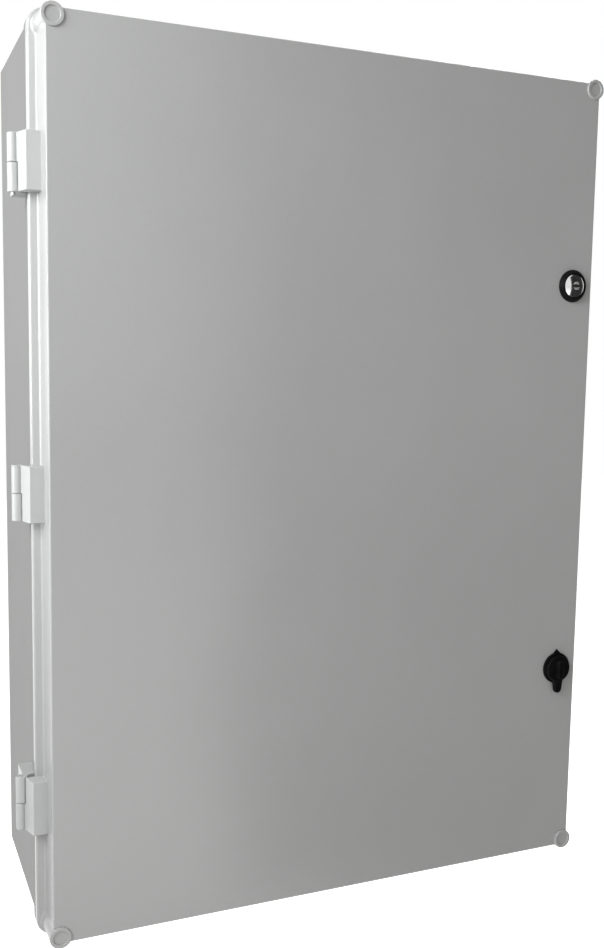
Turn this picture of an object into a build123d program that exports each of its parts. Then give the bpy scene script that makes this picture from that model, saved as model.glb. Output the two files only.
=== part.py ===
from build123d import *
from math import atan2, degrees
import os

# Wall enclosure in moulded polyester: a deep tub, a hat-section door on three
# hinges and two quarter-turn locks. X is to the right, the wall lies in Y = 0
# with the front towards -Y, and Z is up. A "stand" is a distance out from the
# wall, and an "inset" is a distance in from the outline of the door's lip.

# Overall
width = 501.0
height = 718.6
depth = 210.0

# Door moulding
lip_overhang = 7.8
skirt_depth = 29.0
skirt_run = 1.0
lip_depth = 8.0
door_wall = 3.5
lip_wall = 3.3
face_round = 1.2
lip_crown = 2.0
lip_round = 1.9
cove_round = 1.9
corner_inset = 5.3
least_corner = 3.0

# Corner columns of the door
column_radius = 8.6
column_step = 0.3
column_blend = 6.0
column_proud = 1.5
column_round = 0.7
recess_radius = 5.6
recess_depth = 1.1

# Joint between door and tub
door_gap = 1.0
channel_width = 6.8
rib_wall = 2.5
rib_height = 4.2
gasket_height = 2.8
gasket_side_clearance = 0.2
gasket_round = 0.9
seal_clearance = 0.2

# Tub moulding
rim_overhang = 3.4
rim_depth = 7.0
rim_round = 0.8
collar_clearance = 1.4
shell_wall = 3.8
back_wall = 4.0
draft_run = 1.4
body_corner = 4.0
back_round = 2.5
inner_round = 3.0

# Wall fixings
fixing_edge = 21.9
fixing_hole_radius = 4.5
fixing_pad_radius = 11.0
fixing_pad_height = 3.0

# Mounting plate and its fixings
plate_margin = 36.0
plate_thickness = 2.0
plate_corner = 8.0
plate_hole_edge = 16.0
plate_hole_radius = 3.5
boss_radius = 8.0
boss_height = 14.0
insert_radius = 4.2
insert_length = 11.0
insert_clearance = 0.02
plate_screw_radius = 3.0
plate_screw_length = 12.0
plate_screw_head = 10.0
plate_screw_head_height = 4.0
washer_radius = 6.0
washer_thickness = 1.6
thread_clearance = 0.02

# Hinges
hinge_end_distance = 112.3
hinge_height = 43.0
axis_out = 10.4
axis_ahead = 1.0
barrel_radius = 4.1
knuckle_stretch = 1.2
knuckle_gap = 0.4
pin_radius = 1.6
pin_fixed_clearance = 0.02
pin_running_clearance = 0.06
pin_slip = 2.4
leaf_setback = 17.6
leaf_reach = 3.8
leaf_slope = 0.285
leaf_gap = 0.4
leaf_round = 0.8
leaf_edge = 0.6
barrel_edge = 0.4
body_leaf_back = 26.5
body_leaf_reach = 8.7
body_leaf_clearance = 0.2
hinge_screw_radius = 1.7
hinge_screw_head_radius = 3.1
hinge_screw_head_height = 2.0
hinge_screw_clearance = 0.02
door_screw_offset = 12.0
body_screw_offset = 5.4
screw_end_cover = 2.5

# Locks
lock_inset = 20.8
lock_end_distance = 183.8
lock_drop = 1.3
lock_pad_radius = 17.0
lock_pad_height = 1.5
lock_barrel_radius = 11.6
lock_hole_clearance = 0.1
bezel_radius = 14.3
bezel_edge = 1.2
bezel_height = 4.4
bezel_ring = 0.9
bezel_round = 0.6
seal_inner_radius = 12.0
seal_outer_radius = 13.2
seal_height = 1.0
nut_across = 28.0
nut_height = 6.0
running_clearance = 0.06
end_clearance = 0.15
core_radius = 10.7
core_seat = 3.5
core_sink = 0.8
shaft_radius = 7.6
neck_radius = 5.6
barrel_end_gap = 3.0
core_rise = 3.2
keyway_radius = 3.6
keyway_depth = 7.0
key_pin_radius = 1.6
key_pin_sink = 0.6
key_lug_width = 1.6
key_lug_reach = 2.7

# Wing knob of the lower lock
flange_radius = 14.2
knob_flange = 2.0
knob_lift = 0.3
knob_radius = 12.4
knob_thickness = 3.0
knob_round = 1.2
flange_tip = 17.6
flange_tip_half_width = 3.8
knob_tail = 23.0
knob_tail_root_radius = 5.6
knob_tail_end_radius = 4.0
fin_height = 4.0
fin_top = 9.0
fin_bottom = 9.5
fin_radius = 3.6
fin_lean = 0.9
fin_round = 0.8

# Cams and strikes
pilaster_thickness = 3.0
pilaster_width = 34.0
pilaster_drop = 9.0
strike_thickness = 2.0
strike_width = 30.0
strike_base = 25.0
strike_screw_radius = 2.0
strike_screw_head_radius = 3.6
strike_screw_head_height = 2.2
strike_screw_spread = 8.0
strike_screw_drop = 17.0
strike_screw_grip = 4.6
cam_thickness = 3.0
cam_clearance = 0.5
cam_half_width = 5.8
cam_tip_clearance = 0.8
cam_side_clearance = 1.8
cam_tail = 8.0
cam_square = 7.6
cam_square_clearance = 0.02
cam_screw_radius = 2.5
cam_screw_length = 9.0
cam_screw_head_radius = 4.4
cam_screw_head_height = 2.8
slot_width = 1.2
slot_share = 0.45

# Working values
spare = 1.0
touch = 0.02

# Stands
lip_front = depth - skirt_depth
lip_back = lip_front - lip_depth
panel_back = depth - door_wall
channel_floor = lip_front - door_wall
gasket_back = channel_floor - gasket_height
rib_back = channel_floor - rib_height
rim_front = lip_back - door_gap
rim_back = rim_front - rim_depth
collar_front = gasket_back - seal_clearance
axis_stand = lip_back + axis_ahead
boss_top = back_wall + boss_height
plate_front = boss_top + plate_thickness
strike_front = rim_front
cam_front = strike_front - strike_thickness - cam_clearance
cam_back = cam_front - cam_thickness

# Insets
lip_corner = lip_overhang + corner_inset
face_inset = lip_overhang
rib_outer = lip_wall + channel_width
rib_inner = rib_outer + rib_wall
collar_inset = lip_wall + collar_clearance
back_inset = rim_overhang + draft_run
mouth_inset = rim_overhang + shell_wall
floor_inset = back_inset + shell_wall
pilaster_inset = floor_inset + pilaster_thickness

# Places across the front
half_width = width / 2
half_height = height / 2
hinge_offset = half_height - hinge_end_distance
lock_offset = half_height - lock_end_distance
column_x = half_width - lip_corner
column_z = half_height - lip_corner
lock_x = half_width - face_inset - lock_inset
axis_x = -half_width - axis_out
fixing_x = half_width - floor_inset - fixing_edge
fixing_z = half_height - floor_inset - fixing_edge
plate_half_width = half_width - floor_inset - plate_margin
plate_half_height = half_height - floor_inset - plate_margin
plate_hole_x = plate_half_width - plate_hole_edge
plate_hole_z = plate_half_height - plate_hole_edge
corner_signs = [(1, 1), (1, -1), (-1, 1), (-1, -1)]
column_spots = [(a * column_x, b * column_z) for a, b in corner_signs]
fixing_spots = [(a * fixing_x, b * fixing_z) for a, b in corner_signs]
plate_spots = [(a * plate_hole_x, b * plate_hole_z) for a, b in corner_signs]

# Hinge places, with the side of the split on which the door's knuckle lies.
# The lowest hinge is the other way up, so that the door cannot be lifted off.
hinges = {"top": (hinge_offset, 1), "middle": (0.0, 1), "bottom": (-hinge_offset, -1)}
# The pin of the top hinge has slipped down a little.
pin_slips = {"top": pin_slip, "middle": 0.0, "bottom": 0.0}
locks = {"upper": lock_offset - lock_drop, "lower": -lock_offset - lock_drop}


def facing(stand):
    """Plane square to the wall's normal, a stand out from the wall."""
    return Plane.XZ.offset(stand)


def outline(inset, stand, corner=None):
    corner = corner or max(lip_corner - inset, least_corner)
    shape = RectangleRounded(width - 2 * inset, height - 2 * inset, corner)
    return facing(stand) * shape


def prism(inset, back, front):
    return extrude(outline(inset, back), amount=front - back)


def taper(inset_back, back, inset_front, front, corner=None):
    """Drafted solid between two stands, drawn from its larger end."""
    draft = degrees(atan2(abs(inset_back - inset_front), front - back))
    if inset_back > inset_front:
        return extrude(outline(inset_front, front, corner), amount=back - front, taper=draft)
    return extrude(outline(inset_back, back, corner), amount=front - back, taper=draft)


def post(spot, radius, back, front):
    """Round solid along Y at a place (x, z)."""
    return extrude(facing(back) * Pos(*spot) * Circle(radius), amount=front - back)


def rod(x_start, x_end, stand, z, radius):
    """Round solid along X."""
    circle = Plane.YZ.offset(x_start) * Pos(-stand, z) * Circle(radius)
    return extrude(circle, amount=x_end - x_start)


def upright(x, stand, low, high, radius):
    """Round solid along Z."""
    return extrude(Plane.XY.offset(low) * Pos(x, -stand) * Circle(radius), amount=high - low)


def plan_block(points, low, high):
    """Solid along Z from a plan outline of (x, stand) points."""
    corners = [(x, -stand) for x, stand in points]
    plan = Plane.XY.offset(low) * Polygon(*corners, align=None)
    return extrude(plan, amount=high - low, dir=(0, 0, 1))


def spin(points):
    """Solid of revolution about local Z from (radius, stand) points."""
    return revolve(Plane.XZ * Polygon(*points, align=None), axis=Axis.Z)


def seat(spot, solid):
    """Places a solid built about local Z on the axis of a lock."""
    return Plane.XZ * Pos(*spot) * solid


def loop_edges(solid, stand, inset=0.0):
    """Edges in the plane at a stand that lie within the outline at an inset."""
    x_most = half_width - inset + touch
    z_most = half_height - inset + touch
    picked = []
    for edge in solid.edges():
        box = edge.bounding_box()
        flat = abs(box.min.Y + stand) < touch and abs(box.max.Y + stand) < touch
        wide = box.max.X < x_most and box.min.X > -x_most
        tall = box.max.Z < z_most and box.min.Z > -z_most
        if flat and wide and tall:
            picked.append(edge)
    return picked


def band_edges(solid, back, front, inset):
    """Edges between two stands that lie within the outline at an inset."""
    x_most = half_width - inset
    z_most = half_height - inset
    picked = []
    for edge in solid.edges():
        box = edge.bounding_box()
        level = box.max.Y < touch - back and box.min.Y > -front - touch
        wide = box.max.X < x_most and box.min.X > -x_most
        tall = box.max.Z < z_most and box.min.Z > -z_most
        if level and wide and tall:
            picked.append(edge)
    return picked


def hollow_corners(shape):
    """Corners of the door's outline where a swell meets a straight side."""
    picked = []
    for corner in shape.vertices():
        x_past = abs(corner.X) - column_x
        z_past = abs(corner.Z) - column_z
        if x_past * z_past < -spare:
            picked.append(corner)
    return picked


def circle_edges(solid, radius, stand):
    """Circles about local Z of a radius and height."""
    rings = solid.edges().filter_by(GeomType.CIRCLE)
    return [
        ring
        for ring in rings
        if abs(ring.radius - radius) < touch and abs(ring.arc_center.Z - stand) < touch
    ]


def pan_screw(length, radius, head_radius, head_height):
    """Slotted pan-head screw along local Z, head upwards from z = 0."""
    head = extrude(Circle(head_radius), amount=head_height)
    head = fillet(circle_edges(head, head_radius, head_height), head_height * slot_share)
    cut = head_height * slot_share
    slot = Box(2 * head_radius, slot_width, cut, align=(Align.CENTER, Align.CENTER, Align.MAX))
    shank = extrude(Circle(radius), amount=-length)
    return head + shank - Pos(0, 0, head_height) * slot


# Outer form of the door, solid. The skirt swells round each corner column and
# runs back into the straight sides by a blend.
hat_depth = depth - channel_floor
hat_run = skirt_run * hat_depth / skirt_depth
hat_inset = face_inset - hat_run
swell_radius = column_radius + hat_run - column_step
hat_outline = outline(hat_inset, channel_floor)
for spot in column_spots:
    hat_outline = hat_outline + facing(channel_floor) * Pos(*spot) * Circle(swell_radius)
hat_outline = fillet(hollow_corners(hat_outline), column_blend)
hat = extrude(hat_outline, amount=hat_depth, taper=degrees(atan2(hat_run, hat_depth)))
hat = fillet(loop_edges(hat, depth), face_round)
crown_back = lip_front - lip_crown
lip = prism(0.0, lip_back, crown_back) + taper(0.0, crown_back, face_inset, lip_front)
lip = fillet(loop_edges(lip, crown_back), lip_round)
door_form = hat + lip
door_form = fillet(band_edges(door_form, crown_back, lip_front, lip_round), cove_round)

# Outer form of the tub, solid
tub = taper(back_inset, 0.0, rim_overhang, rim_front, body_corner)
tub = fillet(loop_edges(tub, 0.0), back_round)
rim = prism(0.0, rim_back, rim_front)
rim = fillet(loop_edges(rim, rim_back) + loop_edges(rim, rim_front), rim_round)
tub_form = tub + rim

# Hinge leaves
leaf_front = depth - leaf_setback
leaf_back = axis_stand + barrel_radius + leaf_gap
leaf_flare = leaf_slope * (leaf_front - leaf_back)
body_leaf_rear = axis_stand - body_leaf_back
half_hinge = hinge_height / 2
half_gap = knuckle_gap / 2
knuckle_outline = SlotCenterToCenter(knuckle_stretch, 2 * barrel_radius)
door_leaves = {}
body_leaves = {}
pins = {}
for name, (level, side) in hinges.items():
    door_span = sorted((level + side * half_gap, level + side * half_hinge))
    body_span = sorted((level - side * half_gap, level - side * half_hinge))

    block = plan_block(
        [
            (-half_width + face_inset + spare, leaf_front),
            (-half_width - leaf_reach, leaf_front),
            (-half_width - leaf_reach - leaf_flare, leaf_back),
            (-half_width + face_inset + spare, leaf_back),
        ],
        level - half_hinge,
        level + half_hinge,
    )
    ends = block.edges().filter_by(Axis.Z).sort_by(Axis.X)[:1]
    block = fillet(ends, leaf_round)
    front_left = block.edges().filter_by(Axis.Z).group_by(Axis.Y)[0].sort_by(Axis.X)[:1]
    block = fillet(front_left, leaf_round)
    levels = block.edges().group_by(Axis.Z)
    block = fillet(levels[0] + levels[-1], leaf_edge)
    web = plan_block(
        [
            (-half_width - leaf_reach - leaf_flare + leaf_round, leaf_back + leaf_round),
            (axis_x, axis_stand),
            (axis_x + barrel_radius, axis_stand),
            (-half_width - body_leaf_clearance, leaf_back + leaf_round),
        ],
        *door_span,
    )
    barrel = upright(axis_x, axis_stand, *door_span, barrel_radius)
    barrel = chamfer(barrel.edges().filter_by(GeomType.CIRCLE), barrel_edge)
    bore = upright(axis_x, axis_stand, *door_span, pin_radius + pin_running_clearance)
    door_leaves[name] = block + web + barrel - bore - door_form

    block = plan_block(
        [
            (-half_width + mouth_inset, body_leaf_rear),
            (-half_width - body_leaf_reach, body_leaf_rear),
            (-half_width - body_leaf_reach, axis_stand - barrel_radius),
            (axis_x, axis_stand),
            (axis_x + barrel_radius, axis_stand),
            (-half_width - body_leaf_clearance, rim_front),
            (-half_width + mouth_inset, rim_front),
        ],
        *body_span,
    )
    rear_left = block.edges().filter_by(Axis.Z).group_by(Axis.Y)[-1].sort_by(Axis.X)[:1]
    block = fillet(rear_left, leaf_round)
    knuckle = Pos(axis_x + knuckle_stretch / 2, -axis_stand) * knuckle_outline
    barrel = extrude(Plane.XY.offset(body_span[0]) * knuckle, amount=body_span[1] - body_span[0])
    levels = barrel.edges().group_by(Axis.Z)
    barrel = chamfer(levels[0] + levels[-1], barrel_edge)
    bore = upright(axis_x, axis_stand, *body_span, pin_radius + pin_fixed_clearance)
    body_leaves[name] = block + barrel - bore - tub_form

    pin_low = level - half_hinge - pin_slips[name]
    pin = upright(axis_x, axis_stand, pin_low, pin_low + hinge_height, pin_radius)
    pins[name] = chamfer(pin.edges().filter_by(GeomType.CIRCLE), pin_radius / 4)

# Screws that hold the leaves, with their holes through the mouldings
door_screw_stand = (leaf_front + lip_front) / 2
door_screw_face = -half_width + rib_inner
door_screw_end = -half_width - leaf_reach + screw_end_cover
body_screw_stand = (body_leaf_rear + rim_back) / 2
wall_slope = draft_run / (collar_front + spare - back_wall)
wall_rise = wall_slope * (body_screw_stand - back_wall - hinge_screw_head_radius)
body_screw_face = -half_width + floor_inset - wall_rise
body_screw_end = -half_width - body_leaf_reach + screw_end_cover
door_screw = pan_screw(
    door_screw_face - door_screw_end,
    hinge_screw_radius,
    hinge_screw_head_radius,
    hinge_screw_head_height,
)
body_screw = pan_screw(
    body_screw_face - body_screw_end,
    hinge_screw_radius,
    hinge_screw_head_radius,
    hinge_screw_head_height,
)
screw_hole = hinge_screw_radius + hinge_screw_clearance
door_screws = []
body_screws = []
door_screw_holes = []
body_screw_holes = []
for name, (level, side) in hinges.items():
    for sign in (1, -1):
        z = level + sign * door_screw_offset
        place = Location((door_screw_face, -door_screw_stand, z), (0, 90, 0))
        door_screws.append(place * door_screw)
        hole = rod(door_screw_end, door_screw_face, door_screw_stand, z, screw_hole)
        door_screw_holes.append(hole)
        door_leaves[name] = door_leaves[name] - hole
        z = level - side * half_hinge / 2 + sign * body_screw_offset
        place = Location((body_screw_face, -body_screw_stand, z), (0, 90, 0))
        body_screws.append(place * body_screw)
        hole = rod(body_screw_end, body_screw_face + spare, body_screw_stand, z, screw_hole)
        body_screw_holes.append(hole)
        body_leaves[name] = body_leaves[name] - hole

# Strikes on the tub's right wall and their screws
strike_face = half_width - pilaster_inset
strike_inner = strike_face - strike_thickness
strike_tip = lock_x + cam_half_width + cam_side_clearance
strike_rear = strike_front - strike_base
strike_screw_stand = strike_front - strike_screw_drop
strike_screw = pan_screw(
    strike_thickness + strike_screw_grip,
    strike_screw_radius,
    strike_screw_head_radius,
    strike_screw_head_height,
)
strikes = {}
strike_screws = []
strike_screw_holes = []
for name, level in locks.items():
    strike = plan_block(
        [
            (strike_face, strike_rear),
            (strike_face, strike_front),
            (strike_tip, strike_front),
            (strike_tip, strike_front - strike_thickness),
            (strike_inner, strike_front - strike_thickness),
            (strike_inner, strike_rear),
        ],
        level - strike_width / 2,
        level + strike_width / 2,
    )
    outer_bend = strike.edges().filter_by(Axis.Z).group_by(Axis.Y)[0].sort_by(Axis.X)[-1:]
    strike = fillet(outer_bend, strike_thickness)
    for sign in (1, -1):
        z = level + sign * strike_screw_spread
        hole = rod(
            strike_inner - spare,
            strike_face + strike_screw_grip,
            strike_screw_stand,
            z,
            strike_screw_radius + thread_clearance,
        )
        strike = strike - hole
        strike_screw_holes.append(hole)
        place = Location((strike_inner, -strike_screw_stand, z), (0, -90, 0))
        strike_screws.append(place * strike_screw)
    strikes[name] = strike

# Tub
collar = prism(collar_inset, rim_back, collar_front)
cavity = taper(floor_inset, back_wall, mouth_inset, collar_front + spare)
cavity = fillet(loop_edges(cavity, back_wall), inner_round)
shell = tub_form + collar - cavity
for name, level in locks.items():
    pilaster = plan_block(
        [
            (strike_face, back_wall / 2),
            (half_width - floor_inset + shell_wall / 2, back_wall / 2),
            (half_width - floor_inset + shell_wall / 2, rim_front - pilaster_drop),
            (strike_face, rim_front - pilaster_drop),
        ],
        level - pilaster_width / 2,
        level + pilaster_width / 2,
    )
    shell = shell + pilaster
for spot in plate_spots:
    shell = shell + post(spot, boss_radius, back_wall / 2, boss_top)
    hole_radius = insert_radius + insert_clearance
    shell = shell - post(spot, hole_radius, boss_top - insert_length, boss_top)
for spot in fixing_spots:
    shell = shell + post(spot, fixing_pad_radius, back_wall / 2, back_wall + fixing_pad_height)
    shell = shell - post(spot, fixing_hole_radius, -spare, back_wall + fixing_pad_height + spare)
for hole in body_screw_holes + strike_screw_holes:
    shell = shell - hole

# Mounting plate, inserts, washers and screws
plate = extrude(
    facing(boss_top) * RectangleRounded(2 * plate_half_width, 2 * plate_half_height, plate_corner),
    amount=plate_thickness,
)
hex_head = RegularPolygon(plate_screw_head / 2, 6, major_radius=False)
plate_screw = extrude(hex_head, amount=plate_screw_head_height)
plate_screw = plate_screw + extrude(Circle(plate_screw_radius), amount=-plate_screw_length)
washer_front = plate_front + washer_thickness
inserts = []
washers = []
plate_screws = []
for spot in plate_spots:
    plate = plate - post(spot, plate_hole_radius, boss_top - spare, plate_front + spare)
    insert = post(spot, insert_radius, boss_top - insert_length, boss_top)
    thread_radius = plate_screw_radius + thread_clearance
    inserts.append(insert - post(spot, thread_radius, boss_top - insert_length, boss_top))
    washer = post(spot, washer_radius, plate_front, washer_front)
    washers.append(washer - post(spot, plate_hole_radius, plate_front, washer_front))
    plate_screws.append(seat(spot, Pos(0, 0, washer_front) * plate_screw))

# Door
door = door_form
for spot in column_spots:
    column_front = depth + column_proud
    column = post(spot, column_radius, channel_floor, column_front)
    column = column - post(spot, recess_radius, column_front - recess_depth, column_front)
    column = fillet(loop_edges(column, column_front), column_round)
    door = door + column
door = door - prism(lip_wall, lip_back - spare, channel_floor)
door = door + prism(rib_outer, rib_back, channel_floor)
door = door - prism(rib_inner, lip_back - spare, panel_back)
for name, level in locks.items():
    spot = (lock_x, level)
    pad_back = panel_back - lock_pad_height
    door = door + post(spot, lock_pad_radius, pad_back, panel_back + touch)
    hole_radius = lock_barrel_radius + lock_hole_clearance
    door = door - post(spot, hole_radius, pad_back - spare, depth + spare)
for hole in door_screw_holes:
    door = door - hole

# Door gasket
gasket_outer = lip_wall + gasket_side_clearance
gasket_inner = rib_outer - gasket_side_clearance
gasket = prism(gasket_outer, gasket_back, channel_floor)
gasket = gasket - prism(gasket_inner, gasket_back, channel_floor)
gasket = fillet(loop_edges(gasket, gasket_back), gasket_round)

# Lock housings
pad_back = panel_back - lock_pad_height
barrel_end = strike_front + barrel_end_gap
bore_radius = shaft_radius + running_clearance
seat_stand = depth - core_seat
bezel_front = depth + bezel_height
bezel_inner = core_radius + running_clearance
flange_front = depth + knob_flange
seal_groove = [
    (lock_barrel_radius, depth),
    (seal_inner_radius, depth),
    (seal_inner_radius, depth + seal_height),
    (seal_outer_radius, depth + seal_height),
    (seal_outer_radius, depth),
]
upper_housing = spin(
    [(bore_radius, barrel_end), (lock_barrel_radius, barrel_end)]
    + seal_groove
    + [
        (bezel_radius, depth),
        (bezel_radius, depth + bezel_edge),
        (bezel_inner + bezel_ring, bezel_front),
        (bezel_inner, bezel_front),
        (bezel_inner, seat_stand),
        (bore_radius, seat_stand),
    ]
)
bezel_edges = circle_edges(upper_housing, bezel_radius, depth + bezel_edge)
bezel_edges = bezel_edges + circle_edges(upper_housing, bezel_inner + bezel_ring, bezel_front)
upper_housing = fillet(bezel_edges, bezel_round)
lower_housing = spin(
    [(bore_radius, barrel_end), (lock_barrel_radius, barrel_end)]
    + seal_groove
    + [(flange_radius, depth), (flange_radius, flange_front), (bore_radius, flange_front)]
)
lower_housing = fillet(circle_edges(lower_housing, flange_radius, flange_front), bezel_round)
tip_root = (flange_radius**2 - flange_tip_half_width**2) ** 0.5
tip = Polygon(
    (-flange_tip_half_width, tip_root),
    (0, flange_tip),
    (flange_tip_half_width, tip_root),
    (0, seal_outer_radius),
    align=None,
)
tip_solid = extrude(tip, amount=knob_flange - bezel_round, dir=(0, 0, 1))
lower_housing = lower_housing + Pos(0, 0, depth) * tip_solid
lock_seal = spin(
    [
        (seal_inner_radius, depth),
        (seal_outer_radius, depth),
        (seal_outer_radius, depth + seal_height),
        (seal_inner_radius, depth + seal_height),
    ]
)
nut_outline = RegularPolygon(nut_across / 2, 6, major_radius=False, rotation=30)
nut_outline = nut_outline - Circle(lock_barrel_radius + thread_clearance)
lock_nut = Pos(0, 0, pad_back - nut_height) * extrude(nut_outline, amount=nut_height)

# Spindle common to both locks: shaft, neck, square and tapped end
square_end = cam_back + touch
tapped_radius = cam_screw_radius + thread_clearance
neck_start = barrel_end - running_clearance


def spindle(top):
    body = spin(
        [
            (0, cam_front),
            (neck_radius, cam_front),
            (neck_radius, neck_start),
            (shaft_radius, neck_start),
            (shaft_radius, top),
            (0, top),
        ]
    )
    square = extrude(Rectangle(cam_square, cam_square), amount=cam_front - square_end)
    tapping = extrude(Circle(tapped_radius), amount=cam_screw_length)
    return body + Pos(0, 0, square_end) * (square - tapping) - Pos(0, 0, square_end) * tapping


# Key core of the upper lock, with a domed head round the keyway
core_front = bezel_front - core_sink + core_rise
core_back = seat_stand + end_clearance
dome_radius = (core_radius**2 + core_rise**2) / (2 * core_rise)
keyway_floor = core_front - keyway_depth
core_head = Pos(0, 0, core_back) * extrude(Circle(core_radius), amount=core_front - core_back)
core_head = core_head & Pos(0, 0, core_front - dome_radius) * Sphere(dome_radius)
core = core_head + spindle(core_back)
core = core - Pos(0, 0, keyway_floor) * extrude(Circle(keyway_radius), amount=keyway_depth)
key_pin = Circle(key_pin_radius) + Rectangle(2 * key_lug_reach, key_lug_width)
core = core + Pos(0, 0, keyway_floor) * extrude(key_pin, amount=keyway_depth - key_pin_sink)

# Wing knob of the lower lock
knob_back = flange_front + knob_lift
knob_front = knob_back + knob_thickness
tail_root = Pos(0, -knob_radius + knob_tail_root_radius) * Circle(knob_tail_root_radius)
tail_end = Pos(0, -knob_tail + knob_tail_end_radius) * Circle(knob_tail_end_radius)
tail = make_hull(tail_root.edges() + tail_end.edges())
knob_outline = Circle(knob_radius) + tail
knob = Pos(0, 0, knob_back) * extrude(knob_outline, amount=knob_thickness, dir=(0, 0, 1))
rims = [edge for edge in knob.edges() if edge.bounding_box().min.Z > knob_front - touch]
knob = fillet(rims, knob_round)
fin_length = fin_top + fin_bottom
fin_middle = Pos(0, (fin_top - fin_bottom) / 2)
fin_base = fin_middle * Rot(0, 0, 90) * SlotOverall(fin_length, 2 * fin_radius)
crest_slot = SlotOverall(fin_length - 2 * fin_lean, 2 * (fin_radius - fin_lean))
fin_crest = fin_middle * Rot(0, 0, 90) * crest_slot
fin = loft([fin_base, Pos(0, 0, fin_height + knob_round) * fin_crest], ruled=True)
fin = fillet(fin.edges().group_by(Axis.Z)[-1], fin_round)
knob = knob + Pos(0, 0, knob_front - knob_round) * fin
knob = knob + spindle(knob_back + touch)

# Cams, pointing up with the lock open, and their screws
cam_reach = strike_inner - cam_tip_clearance - lock_x
cam_bar = Pos(0, (cam_reach - cam_tail) / 2) * Rectangle(2 * cam_half_width, cam_reach + cam_tail)
cam_bar = fillet(cam_bar.vertices(), cam_half_width / 3)
square_hole = cam_square + 2 * cam_square_clearance
cam_bar = cam_bar - Rectangle(square_hole, square_hole)
cam = Pos(0, 0, cam_back) * extrude(cam_bar, amount=cam_thickness)
cam_screw = pan_screw(
    cam_screw_length,
    cam_screw_radius,
    cam_screw_head_radius,
    cam_screw_head_height,
)
cam_screw = Pos(0, 0, cam_back) * Rot(180, 0, 0) * cam_screw

nodes = {
    "enclosure_shell": shell,
    "plate_inserts": Compound(inserts),
    "mounting_plate": plate,
    "plate_washers": Compound(washers),
    "plate_screws": Compound(plate_screws),
    "body_hinge_screws": Compound(body_screws),
    "strike_screws": Compound(strike_screws),
    "door_panel": door,
    "door_gasket": gasket,
    "door_hinge_screws": Compound(door_screws),
    "upper_lock_housing": seat((lock_x, locks["upper"]), upper_housing),
    "lower_lock_housing": seat((lock_x, locks["lower"]), lower_housing),
    "upper_lock_core": seat((lock_x, locks["upper"]), core),
    "lower_wing_knob": seat((lock_x, locks["lower"]), knob),
}
for name in hinges:
    nodes["door_hinge_leaf_" + name] = door_leaves[name]
    nodes["body_hinge_leaf_" + name] = body_leaves[name]
    nodes["hinge_pin_" + name] = pins[name]
for name, level in locks.items():
    spot = (lock_x, level)
    nodes[name + "_lock_seal"] = seat(spot, lock_seal)
    nodes[name + "_lock_nut"] = seat(spot, lock_nut)
    nodes[name + "_lock_cam"] = seat(spot, cam)
    nodes[name + "_cam_screw"] = seat(spot, cam_screw)
    nodes[name + "_strike"] = strikes[name]

os.makedirs("parts", exist_ok=True)
for name, shape in nodes.items():
    export_step(shape, "parts/" + name + ".step")
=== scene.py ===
import math
import bpy
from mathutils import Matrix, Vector


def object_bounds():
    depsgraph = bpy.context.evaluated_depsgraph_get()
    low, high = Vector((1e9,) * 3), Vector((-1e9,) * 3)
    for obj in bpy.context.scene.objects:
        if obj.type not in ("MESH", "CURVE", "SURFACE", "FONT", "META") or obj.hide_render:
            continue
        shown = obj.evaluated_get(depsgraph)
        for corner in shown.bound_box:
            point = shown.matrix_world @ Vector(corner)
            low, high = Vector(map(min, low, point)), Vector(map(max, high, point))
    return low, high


# Wall enclosure in grey moulded polyester, seen from the front left.

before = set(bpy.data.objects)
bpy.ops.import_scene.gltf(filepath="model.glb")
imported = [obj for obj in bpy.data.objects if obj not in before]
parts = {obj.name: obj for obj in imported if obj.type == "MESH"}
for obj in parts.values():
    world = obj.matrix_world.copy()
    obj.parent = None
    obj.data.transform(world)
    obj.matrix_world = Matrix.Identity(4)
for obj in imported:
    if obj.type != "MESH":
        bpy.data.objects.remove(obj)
cadLow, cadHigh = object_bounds()  # box of the solids, whose lowest point sets the floor's level
print("frame loaded:", len(parts), "parts")

noiseSpan = (0.3, 0.7)  # most values of a noise lie between these


# Small helpers for node trees
def startMaterial(name):
    mat = bpy.data.materials.new(name)
    mat.use_nodes = True
    tree = mat.node_tree
    return mat, tree, tree.nodes["Principled BSDF"]


def pieceCoords(tree):
    return tree.nodes.new("ShaderNodeTexCoord").outputs["Object"]  # metres, in the frame of the solids


def noiseOn(tree, coords, scale, detail=2.0, roughness=0.5, stretch=(1, 1, 1)):
    mapping = tree.nodes.new("ShaderNodeMapping")
    mapping.inputs["Scale"].default_value = stretch
    tree.links.new(coords, mapping.inputs["Vector"])
    noise = tree.nodes.new("ShaderNodeTexNoise")
    noise.inputs["Scale"].default_value = scale
    noise.inputs["Detail"].default_value = detail
    noise.inputs["Roughness"].default_value = roughness
    tree.links.new(mapping.outputs["Vector"], noise.inputs["Vector"])
    return noise.outputs["Fac"]


def rampOn(tree, value, stops):
    ramp = tree.nodes.new("ShaderNodeValToRGB")  # a new ramp has two marks, one for each stop
    for mark, (place, colour) in zip(ramp.color_ramp.elements, stops):
        mark.position = place
        mark.color = (*colour, 1)
    tree.links.new(value, ramp.inputs["Fac"])
    return ramp.outputs["Color"]


def rangeOn(tree, value, low, high):
    span = tree.nodes.new("ShaderNodeMapRange")
    ends = {"From Min": noiseSpan[0], "From Max": noiseSpan[1], "To Min": low, "To Max": high}
    for socket, end in ends.items():
        span.inputs[socket].default_value = end
    tree.links.new(value, span.inputs["Value"])
    return span.outputs["Result"]


def multiplyOn(tree, share, first, second):
    mix = tree.nodes.new("ShaderNodeMix")
    mix.data_type = "RGBA"
    mix.blend_type = "MULTIPLY"
    mix.inputs["Factor"].default_value = share
    tree.links.new(first, mix.inputs["A"])
    tree.links.new(second, mix.inputs["B"])
    return mix.outputs["Result"]


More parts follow.
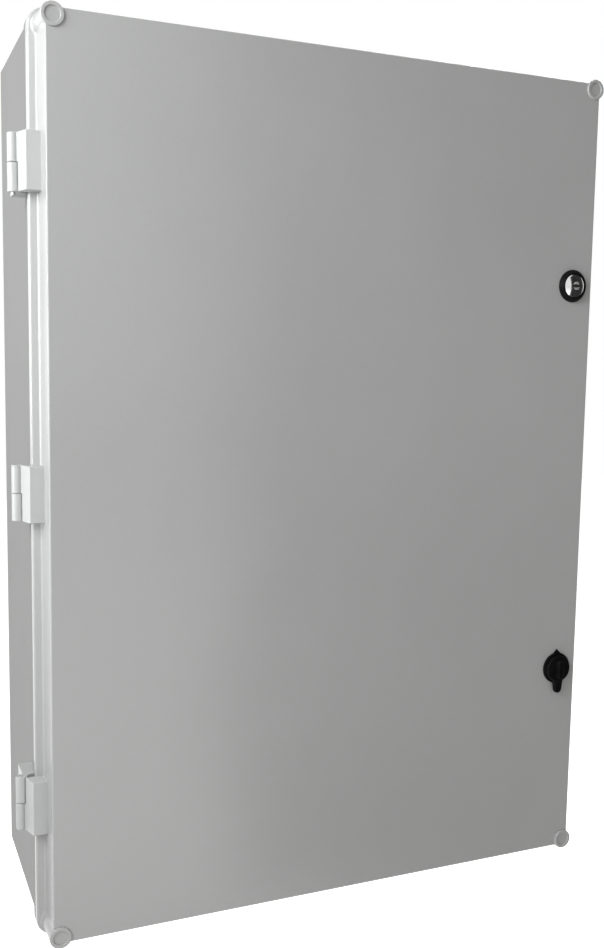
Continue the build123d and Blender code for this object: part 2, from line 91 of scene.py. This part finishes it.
def toneAndGloss(tree, shader, look, toneNoise, glossNoise):
    tree.links.new(rampOn(tree, toneNoise, look["tones"]), shader.inputs["Base Color"])
    tree.links.new(rangeOn(tree, glossNoise, *look["gloss"]), shader.inputs["Roughness"])


def bumpOn(tree, shader, layers):
    under = None
    for height, strength, depth in layers:
        bump = tree.nodes.new("ShaderNodeBump")
        bump.inputs["Strength"].default_value = strength
        bump.inputs["Distance"].default_value = depth
        tree.links.new(height, bump.inputs["Height"])
        if under is not None:
            tree.links.new(under, bump.inputs["Normal"])
        under = bump.outputs["Normal"]
    tree.links.new(under, shader.inputs["Normal"])


def applyFinish(names, mat):
    for name in names:
        data = parts[name].data
        data.materials.clear()
        data.materials.append(mat)


# In the looks below, tones and specks are stops on a noise, gloss is the least and most roughness,
# and a bump is its strength and its depth in metres.

# Grey polyester mouldings, one colour; the tub is duller than the door
polyesterGrey = [(0.3, (0.414, 0.414, 0.411)), (0.7, (0.434, 0.434, 0.431))]
mouldings = {
    "doorPolyester": {
        "names": ["door_panel"],
        "tones": polyesterGrey,
        "specks": [(0.3, (0.965, 0.965, 0.965)), (0.62, (1.0, 1.0, 1.0))],
        "speckShare": 0.6,
        "cloud": {"scale": 7.0, "detail": 3.0},
        "speck": {"scale": 420.0, "detail": 3.0, "roughness": 0.6},
        "peel": {"scale": 260.0, "detail": 1.0},
        "grain": {"scale": 1900.0},
        "gloss": (0.20, 0.25),
        "specular": 0.6,
        "peelBump": (0.03, 0.0006),
        "grainBump": (0.02, 0.0001),
    },
    "tubPolyester": {
        "names": ["enclosure_shell"],
        "tones": polyesterGrey,
        "specks": [(0.3, (0.91, 0.91, 0.91)), (0.62, (1.0, 1.0, 1.0))],
        "speckShare": 0.6,
        "cloud": {"scale": 9.0, "detail": 3.0},
        "speck": {"scale": 380.0, "detail": 3.0, "roughness": 0.6},
        "peel": {"scale": 240.0, "detail": 1.0},
        "grain": {"scale": 1700.0},
        "gloss": (0.62, 0.74),
        "specular": 0.2,
        "peelBump": (0.06, 0.0006),
        "grainBump": (0.08, 0.0001),
    },
}


def makeMoulding(name, look):
    mat, tree, shader = startMaterial(name)
    coords = pieceCoords(tree)
    shader.inputs["Specular IOR Level"].default_value = look["specular"]
    cloud = noiseOn(tree, coords, **look["cloud"])
    speck = noiseOn(tree, coords, **look["speck"])
    peel = noiseOn(tree, coords, **look["peel"])
    grain = noiseOn(tree, coords, **look["grain"])
    tone = rampOn(tree, cloud, look["tones"])
    fleck = rampOn(tree, speck, look["specks"])
    tree.links.new(multiplyOn(tree, look["speckShare"], tone, fleck), shader.inputs["Base Color"])
    tree.links.new(rangeOn(tree, speck, *look["gloss"]), shader.inputs["Roughness"])
    bumpOn(tree, shader, [(peel, *look["peelBump"]), (grain, *look["grainBump"])])
    return mat


for name, look in mouldings.items():
    applyFinish(look["names"], makeMoulding(name, look))
print("mouldings finished")


# Grey polyamide hinge halves
hingePlastic = {
    "names": [
        side + "_hinge_leaf_" + level
        for side in ("door", "body")
        for level in ("top", "middle", "bottom")
    ],
    "tones": [(0.3, (0.480, 0.482, 0.480)), (0.7, (0.508, 0.510, 0.508))],
    "cloud": {"scale": 45.0, "detail": 3.0},
    "grain": {"scale": 2600.0},
    "gloss": (0.30, 0.38),
    "bump": (0.12, 0.00008),
}


def makeHingePlastic(look):
    mat, tree, shader = startMaterial("hingePolyamide")
    coords = pieceCoords(tree)
    cloud = noiseOn(tree, coords, **look["cloud"])
    grain = noiseOn(tree, coords, **look["grain"])
    toneAndGloss(tree, shader, look, cloud, grain)
    bumpOn(tree, shader, [(grain, *look["bump"])])
    return mat


applyFinish(hingePlastic["names"], makeHingePlastic(hingePlastic))
print("hinges finished")


# Black lock mouldings
lockPlastic = {
    "names": ["upper_lock_housing", "lower_lock_housing", "lower_wing_knob"],
    "tones": [(0.3, (0.0042, 0.0042, 0.0042)), (0.7, (0.0066, 0.0066, 0.0066))],
    "cloud": {"scale": 120.0, "detail": 3.0},
    "grain": {"scale": 3200.0},
    "gloss": (0.36, 0.50),
    "specular": 0.045,
    "bump": (0.2, 0.00008),
}


def makeLockPlastic(look):
    mat, tree, shader = startMaterial("lockBlackPlastic")
    coords = pieceCoords(tree)
    shader.inputs["Specular IOR Level"].default_value = look["specular"]
    cloud = noiseOn(tree, coords, **look["cloud"])
    grain = noiseOn(tree, coords, **look["grain"])
    toneAndGloss(tree, shader, look, cloud, cloud)
    bumpOn(tree, shader, [(grain, *look["bump"])])
    return mat


applyFinish(lockPlastic["names"], makeLockPlastic(lockPlastic))
print("lock mouldings finished")


# Metals, with the key core the brightest
metalCloud = {"detail": 4.0, "roughness": 0.6}
metals = {
    "zincPlate": {
        "names": ["mounting_plate", "upper_strike", "lower_strike", "upper_lock_cam", "lower_lock_cam"],
        "tones": [(0.3, (0.50, 0.51, 0.53)), (0.7, (0.66, 0.67, 0.68))],
        "gloss": (0.30, 0.46),
        "cloudScale": 28.0,
        "brushScale": 700.0,
        "stretch": (1, 1, 0.25),  # grain runs upwards
        "bump": (0.25, 0.00003),
    },
    "zincFastener": {
        "names": [
            "plate_washers", "plate_screws", "body_hinge_screws", "strike_screws", "door_hinge_screws",
            "upper_lock_nut", "lower_lock_nut", "upper_cam_screw", "lower_cam_screw",
        ],
        "tones": [(0.3, (0.52, 0.52, 0.50)), (0.7, (0.68, 0.68, 0.66))],
        "gloss": (0.24, 0.42),
        "cloudScale": 240.0,
        "brushScale": 1500.0,
        "stretch": (1, 1, 1),
        "bump": (0.25, 0.00003),
    },
    "pinSteel": {
        "names": ["hinge_pin_top", "hinge_pin_middle", "hinge_pin_bottom"],
        "tones": [(0.3, (0.48, 0.48, 0.48)), (0.7, (0.60, 0.60, 0.60))],
        "gloss": (0.22, 0.36),
        "cloudScale": 200.0,
        "brushScale": 1600.0,
        "stretch": (1, 1, 6),  # fine rings from turning
        "bump": (0.25, 0.00002),
    },
    "insertBrass": {
        "names": ["plate_inserts"],
        "tones": [(0.3, (0.58, 0.40, 0.16)), (0.7, (0.74, 0.54, 0.26))],
        "gloss": (0.24, 0.40),
        "cloudScale": 260.0,
        "brushScale": 1500.0,
        "stretch": (1, 1, 1),
        "bump": (0.25, 0.00002),
    },
    "keyCorePlating": {
        "names": ["upper_lock_core"],
        "tones": [(0.3, (0.66, 0.66, 0.66)), (0.7, (0.78, 0.78, 0.77))],
        "gloss": (0.10, 0.17),
        "cloudScale": 90.0,
        "brushScale": 900.0,
        "stretch": (1, 1, 1),
        "bump": (0.2, 0.00002),
    },
}


def makeMetal(name, look):
    mat, tree, shader = startMaterial(name)
    coords = pieceCoords(tree)
    shader.inputs["Metallic"].default_value = 1.0
    cloud = noiseOn(tree, coords, look["cloudScale"], stretch=look["stretch"], **metalCloud)
    brush = noiseOn(tree, coords, look["brushScale"], stretch=look["stretch"])
    toneAndGloss(tree, shader, look, cloud, cloud)
    bumpOn(tree, shader, [(brush, *look["bump"])])
    return mat


for name, look in metals.items():
    applyFinish(look["names"], makeMetal(name, look))
print("metals finished")


# Seals
seals = {
    "gasketFoam": {
        "names": ["door_gasket"],
        "tones": [(0.35, (0.020, 0.020, 0.021)), (0.65, (0.050, 0.050, 0.052))],
        "gloss": (0.75, 0.95),
        "cell": {"scale": 900.0, "detail": 4.0, "roughness": 0.7},
        "bump": (0.5, 0.0003),
    },
    "lockRubber": {
        "names": ["upper_lock_seal", "lower_lock_seal"],
        "tones": [(0.35, (0.014, 0.014, 0.014)), (0.65, (0.026, 0.026, 0.026))],
        "gloss": (0.55, 0.75),
        "cell": {"scale": 1500.0, "detail": 4.0, "roughness": 0.7},
        "bump": (0.5, 0.0001),
    },
}


def makeSeal(name, look):
    mat, tree, shader = startMaterial(name)
    cell = noiseOn(tree, pieceCoords(tree), **look["cell"])
    toneAndGloss(tree, shader, look, cell, cell)
    bumpOn(tree, shader, [(cell, *look["bump"])])
    return mat


for name, look in seals.items():
    applyFinish(look["names"], makeSeal(name, look))
print("seals finished")


# Helpers for the studio
def addToScene(name, data):
    holder = bpy.data.objects.new(name, data)
    bpy.context.scene.collection.objects.link(holder)
    return holder


def flatSheet(name, wide, tall, level=0.0):
    halfWide = wide / 2
    halfTall = tall / 2
    corners = [
        (-halfWide, -halfTall, level),
        (halfWide, -halfTall, level),
        (halfWide, halfTall, level),
        (-halfWide, halfTall, level),
    ]
    mesh = bpy.data.meshes.new(name)
    mesh.from_pydata(corners, [], [(0, 1, 2, 3)])
    return addToScene(name, mesh)


def aimFrom(holder, place, aim):
    away = Vector(place) - Vector(aim)
    holder.location = place
    holder.rotation_euler = away.to_track_quat("Z", "Y").to_euler()


def seenOrMirrored(tree):
    path = tree.nodes.new("ShaderNodeLightPath")
    seen = path.outputs["Is Camera Ray"]
    for ray in ("Is Glossy Ray", "Is Transmission Ray"):
        either = tree.nodes.new("ShaderNodeMath")
        either.operation = "MAXIMUM"
        tree.links.new(seen, either.inputs[0])
        tree.links.new(path.outputs[ray], either.inputs[1])
        seen = either.outputs["Value"]
    return seen


# Pale floor that reads white where it is seen or mirrored
floorLook = {
    "drop": 0.62,  # the box hangs on a wall, so the floor is well below it
    "size": 14.0,
    "tone": (0.90, 0.90, 0.90),
    "glow": 0.80,
}


def makeFloor(look):
    floor = flatSheet("studioFloor", look["size"], look["size"], cadLow.z - look["drop"])
    mat, tree, shader = startMaterial("studioFloor")
    tree.nodes.remove(shader)
    matt = tree.nodes.new("ShaderNodeBsdfDiffuse")
    matt.inputs["Color"].default_value = (*look["tone"], 1)
    glow = tree.nodes.new("ShaderNodeEmission")
    glow.inputs["Strength"].default_value = look["glow"]
    both = tree.nodes.new("ShaderNodeAddShader")
    tree.links.new(matt.outputs["BSDF"], both.inputs[0])
    tree.links.new(glow.outputs["Emission"], both.inputs[1])
    pick = tree.nodes.new("ShaderNodeMixShader")
    tree.links.new(seenOrMirrored(tree), pick.inputs["Fac"])
    tree.links.new(matt.outputs["BSDF"], pick.inputs[1])
    tree.links.new(both.outputs["Shader"], pick.inputs[2])
    tree.links.new(pick.outputs["Shader"], tree.nodes["Material Output"].inputs["Surface"])
    floor.data.materials.append(mat)


makeFloor(floorLook)
print("floor laid")


# Dark card out of shot on the right, so that polished pieces have something dark to mirror
cardLook = {
    "place": (0.72, -0.82, 0.15),
    "aim": (-0.08, -0.22, 0.15),
    "size": (1.36, 2.2),
    "tone": (0.045, 0.045, 0.045),
}


def makeCard(look):
    card = flatSheet("darkCard", *look["size"])
    aimFrom(card, look["place"], look["aim"])
    mat, tree, shader = startMaterial("darkCard")
    shader.inputs["Base Color"].default_value = (*look["tone"], 1)
    shader.inputs["Roughness"].default_value = 1.0  # quite matt
    shader.inputs["Specular IOR Level"].default_value = 0.0
    card.data.materials.append(mat)
    card.visible_camera = False  # only mirrored, and it takes no light off the object
    card.visible_diffuse = False
    card.visible_shadow = False


makeCard(cardLook)
print("card hung")


# Soft sky, white where it is seen or mirrored
skyLook = {
    "strength": 0.37,
    "tint": (1.0, 1.0, 0.985),
    "white": (1.0, 1.0, 1.0),
}


def makeSky(look):
    world = bpy.data.worlds.new("studioSky")
    world.use_nodes = True
    tree = world.node_tree
    sky = tree.nodes["Background"]
    sky.inputs["Strength"].default_value = look["strength"]
    sky.inputs["Color"].default_value = (*look["tint"], 1)
    white = tree.nodes.new("ShaderNodeBackground")
    white.inputs["Strength"].default_value = 1.0  # plain white
    white.inputs["Color"].default_value = (*look["white"], 1)
    pick = tree.nodes.new("ShaderNodeMixShader")
    tree.links.new(seenOrMirrored(tree), pick.inputs["Fac"])
    tree.links.new(sky.outputs["Background"], pick.inputs[1])
    tree.links.new(white.outputs["Background"], pick.inputs[2])
    tree.links.new(pick.outputs["Shader"], tree.nodes["World Output"].inputs["Surface"])
    bpy.context.scene.world = world


makeSky(skyLook)
print("sky set")


# Lamps in watts and metres; the first two leave out the tub, so that its wall stays darker than the skirt
lamps = {
    "sideSpot": {
        "kind": "SPOT",
        "place": (-1.50, -0.30, 0.20),
        "aim": (-0.26, -0.20, 0.15),
        "size": 0.35,
        "cone": 22.0,  # degrees
        "fade": 1.0,
        "power": 165.0,
        "tint": (0.965, 1.0, 1.0),
        "skips": ["enclosure_shell"],
    },
    "cornerLamp": {
        "kind": "AREA",
        "place": (-0.68, -0.46, 0.42),
        "aim": (-0.25, -0.20, 0.12),
        "size": 0.40,
        "power": 1.6,
        "tint": (0.965, 1.0, 1.0),
        "skips": ["enclosure_shell"],
    },
    "keyLamp": {
        "kind": "AREA",
        "place": (-1.28, -0.88, 0.82),
        "aim": (-0.20, -0.15, 0.10),
        "size": 0.80,
        "power": 14.0,
        "tint": (0.98, 1.0, 1.0),
    },
    "edgeLamp": {
        "kind": "AREA",
        "place": (-0.75, 0.90, 0.30),
        "aim": (-0.24, -0.20, 0.15),
        "size": 0.70,
        "power": 1.5,
        "tint": (0.965, 1.0, 1.0),
    },
    "lowFill": {
        "kind": "AREA",
        "place": (0.0, -1.50, -0.75),
        "aim": (0.0, -0.20, -0.25),
        "size": 0.80,
        "power": 1.8,
        "tint": (1.0, 1.0, 0.99),
    },
    "backFill": {
        "kind": "AREA",
        "place": (1.90, 1.70, 1.30),
        "aim": (0.0, 0.0, 0.0),
        "size": 1.40,
        "power": 46.0,
        "tint": (1.0, 1.0, 1.0),
    },
}


def keepOff(lampName, holder, names):
    shaded = bpy.data.collections.new(lampName + "Shaded")
    for name in names:
        shaded.objects.link(parts[name])
    for entry in shaded.collection_objects:
        entry.light_linking.link_state = "EXCLUDE"
    holder.light_linking.receiver_collection = shaded


def makeLamp(name, look):
    lamp = bpy.data.lights.new(name, look["kind"])
    lamp.energy = look["power"]
    lamp.color = look["tint"]
    if look["kind"] == "SPOT":
        lamp.spot_size = math.radians(look["cone"])
        lamp.spot_blend = look["fade"]
        lamp.shadow_soft_size = look["size"]
    else:
        lamp.shape = "SQUARE"
        lamp.size = look["size"]
    holder = addToScene(name, lamp)
    aimFrom(holder, look["place"], look["aim"])
    if "skips" in look:
        keepOff(name, holder, look["skips"])


for name, look in lamps.items():
    makeLamp(name, look)
bpy.context.scene.view_settings.view_transform = "Standard"
print("studio lit")


# Camera at the photograph's place
shot = {
    "place": (-0.37954, -1.00154, 0.10648),
    "aim": (-0.03485, -0.20000, 0.01016),
    "roll": 0.932,  # degrees
    "lens": 40.30,  # millimetres, as the sensor
    "sensor": 36.0,
    "shift": (0.0004, 0.0010),
    "nearClip": 0.01,
}


def makeCamera(look):
    data = bpy.data.cameras.new("shotCamera")
    data.sensor_width = look["sensor"]
    data.lens = look["lens"]
    data.shift_x, data.shift_y = look["shift"]
    data.clip_start = look["nearClip"]
    camera = addToScene("shotCamera", data)
    aimFrom(camera, look["place"], look["aim"])
    camera.rotation_euler.rotate_axis("Z", math.radians(look["roll"]))
    bpy.context.scene.camera = camera


makeCamera(shot)
print("camera set")
